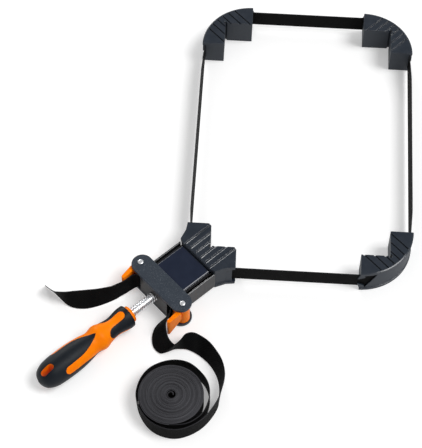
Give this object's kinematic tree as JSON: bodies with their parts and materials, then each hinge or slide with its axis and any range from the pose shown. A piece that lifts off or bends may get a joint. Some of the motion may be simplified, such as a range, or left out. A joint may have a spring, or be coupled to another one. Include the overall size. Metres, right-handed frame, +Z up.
{
  "type": "band clamp",
  "caption": "Screw-tensioned band clamp: corner jaws and a V jaw on a nylon band, a threaded spindle with a moulded handle, and cam levers that grip the free band.",
  "frame": {"origin": "underside of the front jaw, below the spindle's axis and 12 mm behind the inner corner of its V", "axes": "+Z up from the surface that the jaws stand on, +X and +Y along the sides of the clamped frame, with the spindle and handle running back along the diagonal between -X and -Y"},
  "size_m": [0.4645, 0.6444, 0.0394],
  "materials": {
    "jaw_plastic": "satin moulded glass-filled nylon, blue black",
    "cover_plastic": "smooth satin, navy black",
    "yoke_plastic": "fine speckled texture, slate",
    "orange_plastic": "semi-gloss moulded, orange",
    "grip_rubber": "soft matt overmould, charcoal",
    "zinc_steel": "bright zinc plate",
    "spring_steel": "plain spring steel",
    "band_nylon": "woven nylon webbing, black"
  },
  "bodies": {
    "root": {"front_jaw": "jaw_plastic", "band_loop": "band_nylon", "corner_jaw_front_right": "jaw_plastic", "corner_jaw_back_right": "jaw_plastic", "corner_jaw_back_left": "jaw_plastic"},
    "clamp_body": {"guide_body": "jaw_plastic", "body_cover": "cover_plastic", "yoke_top_plate": "yoke_plastic", "yoke_bottom_plate": "yoke_plastic", "spindle_nut": "zinc_steel", "left_rivet": "zinc_steel", "right_rivet": "zinc_steel", "left_lever_spring": "spring_steel", "right_lever_spring": "spring_steel", "band_tail": "band_nylon", "band_lead": "band_nylon", "band_coil": "band_nylon"},
    "handle": {"spindle": "zinc_steel", "spindle_clip": "spring_steel", "thrust_washer": "zinc_steel", "handle_core": "orange_plastic", "handle_front_grip": "grip_rubber", "handle_rear_grip": "grip_rubber"},
    "left_lever": {"left_lever": "orange_plastic"},
    "right_lever": {"right_lever": "orange_plastic"}
  },
  "joints": [
    {"name": "handle_spin", "type": "hinge", "parent": "root", "child": "handle", "pos_m": [0, 0, 0.019], "axis": [0.7071, 0.7071, 0], "range_deg": [0, 2880]},
    {"name": "body_slide", "type": "slide", "parent": "root", "child": "clamp_body", "axis": [-0.7071, -0.7071, 0], "range_m": [0, 0.028]},
    {"name": "right_lever_pivot", "type": "hinge", "parent": "clamp_body", "child": "right_lever", "pos_m": [-0.02051, -0.07707, 0.019], "axis": [0, 0, 1], "range_deg": [0, 30], "stiffness_Nm_per_rad": 0.05, "springref_deg": -10.03},
    {"name": "left_lever_pivot", "type": "hinge", "parent": "clamp_body", "child": "left_lever", "pos_m": [-0.07707, -0.02051, 0.019], "axis": [0, 0, -1], "range_deg": [0, 30], "stiffness_Nm_per_rad": 0.05, "springref_deg": -10.03}
  ],
  "couplings": [
    {"joint": "handle_spin", "follows": "body_slide", "rad_per_m": 1795.2}
  ]
}
